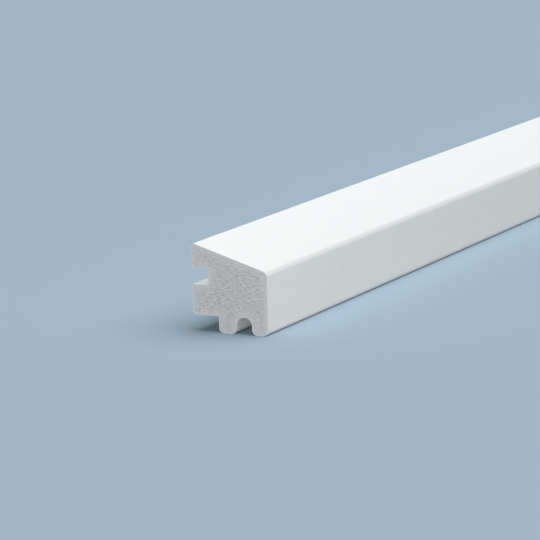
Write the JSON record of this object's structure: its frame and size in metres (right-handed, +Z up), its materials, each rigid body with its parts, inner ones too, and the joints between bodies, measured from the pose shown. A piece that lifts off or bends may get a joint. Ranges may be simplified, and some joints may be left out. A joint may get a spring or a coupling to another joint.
{
  "type": "window sill nosing",
  "caption": "Straight length of window sill nosing with a sloping top, a rounded nose, a slot and tongue at the back, a rabbet under the tongue and a drip groove in the underside.",
  "frame": {"origin": "on the underside, at the middle of the length and of the depth", "axes": "+X along the length, +Y to the back where the window and wall are, +Z up as the nosing is fitted and as it lies"},
  "size_m": [2.4384, 0.0476, 0.0503],
  "materials": {
    "foamed_pvc": "satin"
  },
  "bodies": {
    "root": {"sill_nosing": "foamed_pvc"}
  },
  "joints": []
}
